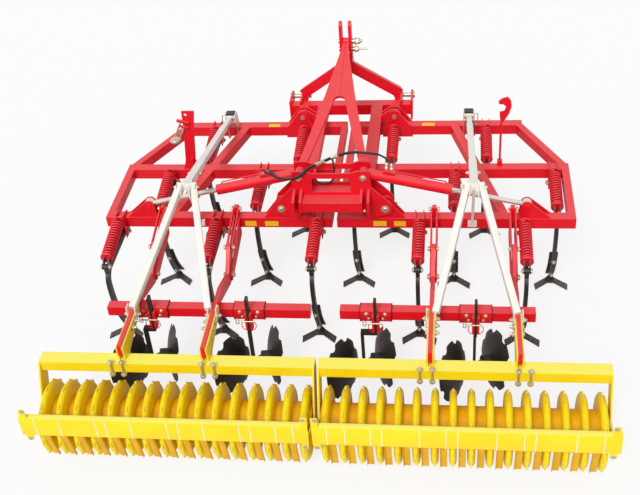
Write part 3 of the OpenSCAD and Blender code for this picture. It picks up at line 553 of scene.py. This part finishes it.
head, fork = np.array([1.065, 1.410, 1.025]), np.array([1.090, -0.160, 1.348])
leg_feet = [(-1, np.array([0.822, -1.020, 0.862])), (1, np.array([1.386, -1.020, 0.862]))]
along_brace = fork - head
prop_foot = np.array([1.085, 0.031, 0.865])
prop = fork - prop_foot
brace_parts = [square_tube(head, head + 0.22 * along_brace, 0.042, 0.042),
               square_tube(head + 0.17 * along_brace, head + 0.74 * along_brace, 0.052, 0.052),
               square_tube(head + 0.70 * along_brace, fork, 0.062, 0.060),
               square_tube((1.063, 1.372, 1.030), (1.063, 1.448, 1.030), 0.092, 0.068, 0.008),
               square_tube((1.085, 0.045, 0.865), (1.085, 0.021, 0.865), 0.070, 0.050),
               seated(turned([(0.011, 0.0), (0.011, np.linalg.norm(prop))], 16), [prop_foot], prop)]
for k, foot in leg_feet:
    brace_parts.append(square_tube(fork + (k * 0.048, 0.030, 0.004), foot, 0.050, 0.050))
    brace_parts.append(square_tube(fork + (k * 0.034, 0.055, -0.012), fork + (k * 0.034, -0.075, -0.022),
                                   0.010, 0.074))
for x in (1.020, 1.110):
    brace_parts.append(plate_across([(1.450, 0.900), (1.520, 0.900), (1.460, 1.065), (1.380, 1.065),
                                     (1.380, 0.990)], x, 0.008))
brace_bolts = []
for at in (0.833, 0.955):
    for k in (-1, 1):
        brace_bolts.append(seated(hex_bolt(0.0150, 0.012, 0.012), [head + at * along_brace + (k * 0.031, 0, 0)],
                                  (k, 0, 0)))
for k in (-1, 1):
    brace_bolts.append(seated(hex_bolt(0.0165, 0.013, 0.012), [fork + (k * 0.073, -0.010, 0.0)], (k, 0, 0)))
    rod_x = 1.063 + k * 0.043
    brace_bolts.append(seated(turned([(0.0065, 0.0), (0.0065, 0.215)], 12), [(rod_x, 1.4375, 0.795)],
                              (0, 0, 1)))
    brace_bolts.append(seated(hex_bolt(0.0130, 0.012, 0.010), [(rod_x, 1.4375, 0.812)], (0, 0, -1)))
    brace_bolts.append(seated(hex_bolt(0.0120, 0.009), [(rod_x - k * 0.017, 1.372, 1.030)], (0, -1, 0)))
brace_bolts.append(wire_link((1.128, 1.402, 0.995), (0.008, 0.006), (0.008, 0.046), 0.0042))
foot_plates = []
for x in arm_x:
    for k in (-1, 1):
        foot_plates.append(plate_across([(-1.050, 0.776), (-0.990, 0.776), (-0.990, 0.880), (-1.050, 0.880)],
                                        x + k * 0.0315, 0.008))
        brace_bolts.append(seated(hex_bolt(0.0175, 0.014, 0.010), [(x + k * 0.0355, -1.020, 0.803)], (k, 0, 0)))
for side, s in both_sides:
    brace = fitted(f"long_brace_{side}", to_side(joined(brace_parts + foot_plates), s), pale_paint,
                   f"wing_{side}")
    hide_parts(f"y_brace_{side}")
    fitted(f"brace_bolts_{side}", to_side(joined(brace_bolts), s), zinc_plate, f"wing_{side}")
    cap = square_tube((1.063, 1.376, 1.071), (1.063, 1.444, 1.071), 0.078, 0.012)
    fitted(f"brace_cap_{side}", to_side(cap, s), black_steel, f"wing_{side}")

# ---- Disc beam clamps ----
# A pressed sleeve grips the disc beam at each pair of discs, with dark sealed ends, two bolts in its back,
# and a pin and a pair of bent wire guards round the holder of the stalk.
disc_beam = (-0.855, 0.711)
for side, spots in (("left", (-1.287, -0.555)), ("right", (0.384, 1.105))):
    sleeves, ends, guards, bolts = [], [], [], []
    for x in spots:
        sleeves.append(square_tube((x - 0.112, *disc_beam), (x + 0.112, *disc_beam), 0.0985, 0.0985, 0.006))
        for k in (-1, 1):
            ends.append(square_tube((x + k * 0.112, *disc_beam), (x + k * 0.118, *disc_beam), 0.102, 0.102,
                                    0.005))
            bolts.append(seated(hex_bolt(0.0125, 0.009, 0.004), [(x + k * 0.068, -0.9042, 0.735)], (0, -1, 0)))
            bolts.append(seated(hex_bolt(0.0095, 0.008, 0.003), [(x + k * 0.052, -0.9042, 0.690)], (0, -1, 0)))
            bend = np.linspace(-0.5 * np.pi, 0.5 * np.pi, 13)
            guards.append(carried(np.stack([x + k * (0.018 + 0.036 * np.cos(bend)), np.full(13, -0.948),
                                            0.645 + 0.048 * np.sin(bend)], 1), 0.0032, 8))
        bolts.append(seated(turned([(0.0060, 0.0), (0.0060, 0.125)], 12), [(x - 0.080, -0.9585, 0.690)],
                            (1, 0, 0)))
        bolts.append(wire_link((x - 0.080, -0.9585, 0.690), (0.006, 0.004), (0.008, 0.016), 0.0032))
    fitted(f"clamp_sleeves_{side}", joined(sleeves), red_paint, f"wing_{side}")
    fitted(f"clamp_ends_{side}", joined(ends), black_steel, f"wing_{side}")
    fitted(f"stalk_guards_{side}", joined(guards), red_paint, f"wing_{side}")
    fitted(f"clamp_bolts_{side}", joined(bolts), zinc_plate, f"wing_{side}")

# ---- Transport stand ----
# On the left wing's catch two zinc-plated prongs come down to a round turned foot,
# held under a short bracket of two red bars.
prongs = [carried(np.linspace(a, b, 5), 0.0085, 12) for a, b in
          (((-1.328, 0.750, 1.380), (-1.398, 0.750, 1.235)), ((-1.300, 0.750, 1.345), (-1.366, 0.750, 1.205)))]
pad = turned([(0.030, 0.0), (0.046, 0.003), (0.047, 0.018), (0.041, 0.024), (0.020, 0.026)], 28)
fitted("stand_prongs", joined(prongs + [seated(pad, [(-1.402, 0.750, 1.186)], (0, 0, 1))]), zinc_plate,
       "wing_left")
fitted("stand_bracket", joined([square_tube((-1.362, 0.749, 1.392), (-1.262, 0.749, 1.366), 0.026, 0.022),
                                square_tube((-1.352, 0.752, 1.338), (-1.272, 0.752, 1.318), 0.022, 0.016)]),
       red_paint, "wing_left")

# ---- Scraper beams ----
# A pressed channel runs behind each roller, its lips towards the rings. A wide blade hangs from it between
# each two rings, kept by a flat strap round the channel, and a bracket with two bolts holds each end.
inner, outer = 0.012, 2.030
blade_x = ring_x[:-1] + 0.0625
strap_x = (0.113, 0.234, 0.405, 0.480, 0.729, 0.903, 0.980, 1.235, 1.413, 1.485, 1.745, 1.920)
for side, s in both_sides:
    parts = [square_tube((inner, y, z), (outer, y, z), wide, high, 0.003) for y, z, wide, high in
             ((-1.8945, 0.5200, 0.007, 0.165), (-1.8740, 0.5990, 0.047, 0.007),
              (-1.8740, 0.4410, 0.047, 0.007))]
    blades = []
    for x in blade_x:
        blades.append(square_tube((x, -1.872, 0.520), (x, -1.789, 0.134), 0.050, 0.008, 0.003, (0.0, 1.0, 0.2)))
        blades.append(square_tube((x - 0.0225, -1.880, 0.520), (x - 0.0225, -1.797, 0.134), 0.005, 0.018, 0.002,
                                  (0.0, 1.0, 0.2)))
    # The blades take the darker yellow as painted shade.
    fitted(f"scraper_blades_{side}", to_side(joined(blades), s), painted_shade_yellow, f"wing_{side}")
    bolts = []
    for x, k in ((1.985, 1), (0.040, -1)):
        parts.append(square_tube((x, -1.8915, 0.390), (x + k * 0.006, -1.8915, 0.682), 0.048, 0.010, 0.003,
                                 (0.0, 1.0, 0.0)))
        for z in (0.404, 0.667):
            bolts.append(seated(hex_bolt(0.0125, 0.002), [(x, -1.8956, z)], (0, -1, 0)))
    beam = fitted(f"scraper_beam_{side}", to_side(joined(parts), s), yellow_paint,
                  f"wing_{side}")
    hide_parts(f"scraper_{side}")
    bands = [square_tube((x, -1.8990, 0.4365), (x, -1.8990, 0.6035), 0.006, 0.002, 0.0005, (0.0, 1.0, 0.0))
             for x in strap_x]
    fitted(f"scraper_straps_{side}", to_side(joined(bands), s), pale_paint, f"wing_{side}")
    fitted(f"scraper_bolts_{side}", to_side(joined(bolts), s), zinc_plate, f"wing_{side}")

# ---- Blank plates ----
# Small plates of thin yellow sheet, left bare, are stuck to the back faces of the rear beams
# and to the tops of the front ones.
plate_finish = coated("plate_yellow", (0.90, 0.62, 0.01), (0.84, 0.55, 0.01), rough=0.3, cloud=9.0, relief=0.02)


def rounded_plate(wide, high, thick, corner):
    """A flat plate in X and Z with round corners, standing thick out towards -Y."""
    x, z = oval((corner, wide / 2 - corner), (corner, high / 2 - corner))
    front = np.stack([x, np.full_like(x, -thick), z], 1)
    back = np.stack([x, np.zeros_like(x), z], 1)
    n = len(x)
    i = np.arange(n)
    walls = np.stack([i, (i + 1) % n, (i + 1) % n + n, i + n], 1).tolist()
    return np.concatenate([back, front]), walls + [i[::-1].tolist(), (i + n).tolist()]


plates = {"left": [((-0.679, 0.045, 0.847), 0.092, 0.048), ((-0.508, 0.045, 0.847), 0.108, 0.048)],
          "right": [((0.362, 0.045, 0.852), 0.104, 0.048), ((0.520, 0.045, 0.852), 0.094, 0.048)]}
for side, spots in plates.items():
    parts = []
    for place, wide, high in spots:
        points, faces = rounded_plate(wide, high, 0.0015, 0.005)
        parts.append((points + place, faces))
    near, far = (-0.736, -0.632) if side == "left" else (0.654, 0.766)
    parts.append(square_tube((near, 1.472, 0.9006), (far, 1.472, 0.9006), 0.050, 0.0016, 0.0007))
    fitted(f"blank_plates_{side}", joined(parts), plate_finish, f"wing_{side}")

# ---- Hydraulic hoses ----
# Two rubber hoses side by side run from a block on the right barrel, behind the strut, to the left barrel's
# block, and a third hangs in a loop between the plates. Each end stretches between the centre and its barrel,
# and swaged zinc ferrules close the ends and joints.
rubber = coated("hose_rubber", (0.022, 0.022, 0.022), (0.012, 0.012, 0.012), rough=0.55, cloud=14.0,
                peel=600.0, relief=0.08)
hose_thick = 0.015


def through_points(points, steps):
    """A smooth curve through points: each span a Catmull-Rom cubic of its four nearest points."""
    p = np.asarray(points, float)
    p = np.concatenate([[2 * p[0] - p[1]], p, [2 * p[-1] - p[-2]]])
    t = np.linspace(0, len(p) - 3, steps * (len(p) - 3) + 1)
    i = np.minimum(t.astype(int), len(p) - 4)
    u = (t - i)[:, None]
    a, b, c, d = p[i], p[i + 1], p[i + 2], p[i + 3]
    return 0.5 * (2 * b + (c - a) * u + (2 * a - 5 * b + 4 * c - d) * u ** 2 + (3 * b - a - 3 * c + d) * u ** 3)


def hose(name, points, body, steps=4):
    """A hose through the points: a round rubber tube along a smooth curve through them."""
    line = through_points(points, steps)
    piece = fitted(name, carried(line, hose_thick / 2, 12), rubber, body)
    return piece


def ferrule(a, b):
    """A swaged sleeve from a to b with a hexagon collar at its start."""
    a, b = np.asarray(a, float), np.asarray(b, float)
    length = np.linalg.norm(b - a)
    sleeve = turned([(0.0095, 0.0), (0.0108, 0.003), (0.0108, length - 0.003), (0.0092, length)], 16)
    collar = turned([(0.0135, 0.004), (0.0140, 0.006), (0.0140, 0.017), (0.0130, 0.019)], 6)
    return seated(joined([sleeve, collar]), [a], b - a)


middle = np.array([(0.400, 0.192, 1.382), (0.372, 0.195, 1.398), (0.340, 0.198, 1.408), (0.250, 0.200, 1.420),
                   (0.161, 0.200, 1.424), (0.090, 0.198, 1.412), (0.043, 0.195, 1.396), (-0.010, 0.175, 1.388),
                   (-0.060, 0.135, 1.386), (-0.120, 0.076, 1.390), (-0.175, 0.028, 1.386),
                   (-0.213, -0.008, 1.364), (-0.255, -0.014, 1.334), (-0.310, -0.012, 1.318),
                   (-0.360, -0.012, 1.320), (-0.395, -0.012, 1.328)])
beside = middle + (0.008, 0.018, -0.018)
first = hose("hose_middle", middle, "centre")
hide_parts("hoses")
hose("hose_second", beside, "centre")
hose("hose_loop", [(0.003, 0.176, 1.372), (0.016, 0.152, 1.320), (0.012, 0.136, 1.250),
                   (-0.012, 0.130, 1.196), (-0.060, 0.130, 1.174), (-0.112, 0.132, 1.186),
                   (-0.142, 0.138, 1.222), (-0.150, 0.142, 1.256)],
     "centre")

barrel_along, barrel_up = np.array([0.9735, 0.0, -0.2290]), np.array([0.2290, 0.0, 0.9735])
barrel_base = np.array([base_pin[0], 0.096, base_pin[1]])


def on_barrel(s, t, out, y=0.0):
    """A place on a side's barrel: base + t along + out up + y, with x times s."""
    return (barrel_base + t * barrel_along + out * barrel_up + (0.0, y, 0.0)) * (s, 1.0, 1.0)


for side, s in both_sides:
    port = 0.145 if s > 0 else 0.215
    block = square_tube(on_barrel(s, port, 0.052), on_barrel(s, port + 0.090, 0.052), 0.052, 0.030, 0.004,
                        barrel_up * (s, 1, 1))
    lip = seated(turned([(0.0405, 0.0), (0.0425, 0.002), (0.0425, 0.016), (0.0395, 0.022),
                         (0.0215, 0.023)], 32),
                 [on_barrel(s, 0.668, 0.0)], on_barrel(s, 1.0, 0.0) - on_barrel(s, 0.0, 0.0))
    pipe_line = [on_barrel(s, t, out, 0.012) for t, out in
                 ((port + 0.080, 0.052), (port + 0.105, 0.056), (port + 0.145, 0.056), (0.600, 0.056),
                  (0.632, 0.053), (0.645, 0.040))]
    pipe = carried(through_points(pipe_line, 5), 0.0055, 10)
    fitted(f"barrel_block_{side}", joined([block, lip, pipe]), red_paint, f"barrel_{side}")
    if s > 0:
        ports, last, next_in, lean = (0.020, 0.060), 0, 1, np.array([0.0, 0.022, 0.050])
    else:
        ports, last, next_in, lean = (0.060, 0.020), -1, -2, np.array([0.018, -0.036, 0.036])
    sleeves = []
    for i, (along, route) in enumerate(zip(ports, (middle, beside))):
        start, out = on_barrel(s, port + along, 0.066, 0.004 * s), route[last]
        rise = start + lean
        sleeves.append(ferrule(start, rise))
        onward = out + (out - route[next_in]) * 0.6
        end = hose(f"hose_end_{side}_{i + 1}",
                   [start, (start + rise) / 2, rise, rise + 0.2 * lean, onward, out], None, 5)
        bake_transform(end)
    fitted(f"hose_sleeves_{side}", joined(sleeves), zinc_plate, f"barrel_{side}")
joints = [ferrule(route[i], route[i + 1]) for route in (middle, beside) for i in (6, 8)]
fitted("hose_joints", joined(joints), zinc_plate, "centre")

# ---- Tower strut ----
# The A-shaped strut between the tower's head and the rear plates: two bent plates that meet along a seam,
# with a round arch where the legs part and a boss round the upper pin.
tower_y, upper_pin, lower_pin = 1.620, 1.655, 1.580
slope = math.atan2(0.355, 1.440)
arch = [(0.053 * math.cos(a), 0.753 - 0.053 * math.sin(a)) for a in np.radians(range(0, 86, 12))]
outline = [(0.0010, 0.0), (0.0260, 0.0), (0.0350, 0.140), (0.1290, 0.712), (0.2770, 1.4831), (0.2120, 1.4831),
           (0.053, 0.780), *arch, (0.0010, 0.700)]
points, faces = plate_across(outline, 0.0, 0.024)
out, across, down = points.T
half = (np.stack([across, tower_y - down * math.cos(slope) + out * math.sin(slope),
                  upper_pin - down * math.sin(slope) - out * math.cos(slope)], 1), faces)
boss = seated(turned([(0.0320, 0.0), (0.0320, 0.054)], 32), [(-0.027, tower_y, upper_pin)], (1, 0, 0))
strut = fitted("strut_plates", joined([to_side(half, 1), to_side(half, -1), boss]), red_paint,
               "centre")
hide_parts("tower_strut")

# ---- Tower pins ----
# Two zinc-plated pins join the strut to the ears of the tower. Each has a collar and a plain nut,
# and the lower one ends in a slightly bent pull handle.
tower_parts = [seated(turned([(0.024, 0.0), (0.024, 0.030)], 20), [(0.053, tower_y, upper_pin)], (1, 0, 0)),
               seated(hex_bolt(0.0270, 0.036, 0.018), [(0.083, tower_y, upper_pin)], (1, 0, 0)),
               seated(turned([(0.021, 0.0), (0.021, 0.026)], 20), [(0.053, tower_y, lower_pin)], (1, 0, 0)),
               seated(hex_bolt(0.0245, 0.026, 0.004), [(0.079, tower_y, lower_pin)], (1, 0, 0)),
               carried([(0.105, tower_y, lower_pin), (0.125, 1.619, lower_pin), (0.188, 1.616, 1.583)],
                       0.0075, 10)]
fitted("tower_nuts", joined(tower_parts), zinc_plate, "centre")
